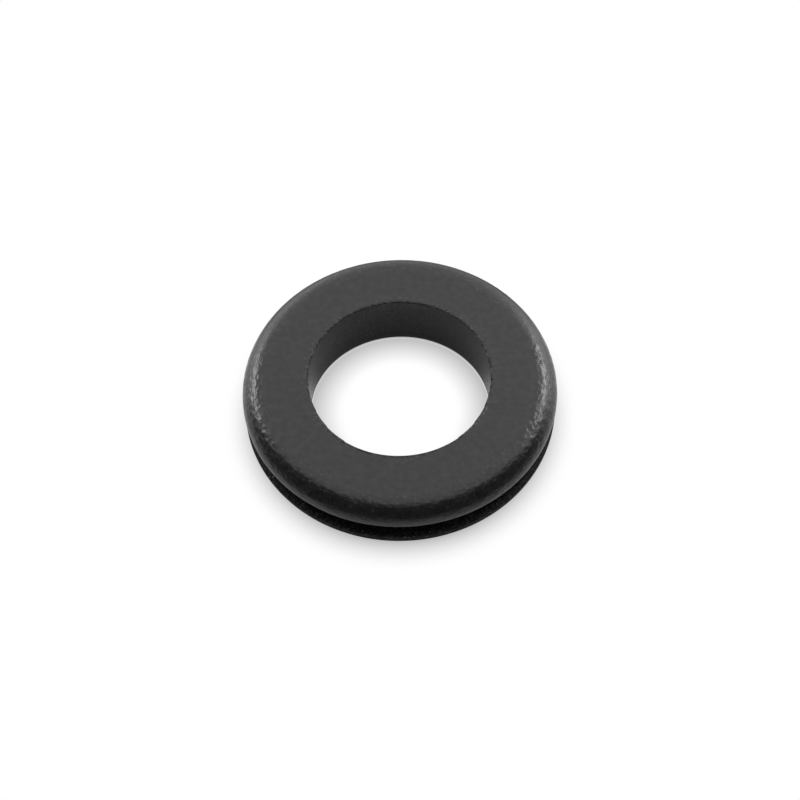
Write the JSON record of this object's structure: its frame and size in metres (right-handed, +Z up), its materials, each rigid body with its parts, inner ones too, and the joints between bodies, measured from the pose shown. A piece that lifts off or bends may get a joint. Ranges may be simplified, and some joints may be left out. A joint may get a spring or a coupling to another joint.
{
  "type": "rubber grommet",
  "caption": "Round black rubber grommet: equal flanges on both sides of a panel groove, and an open bore that guards a cable where it passes through sheet.",
  "frame": {"origin": "centre of the underside, on the axis of the bore", "axes": "+Z up along the axis of the bore, from the underside to the upper face; +X and +Y are any two radii, because the part is round"},
  "size_m": [0.024, 0.024, 0.005],
  "materials": {
    "rubber": "dull moulded, slightly grainy"
  },
  "bodies": {
    "root": {"grommet": "rubber"}
  },
  "joints": []
}
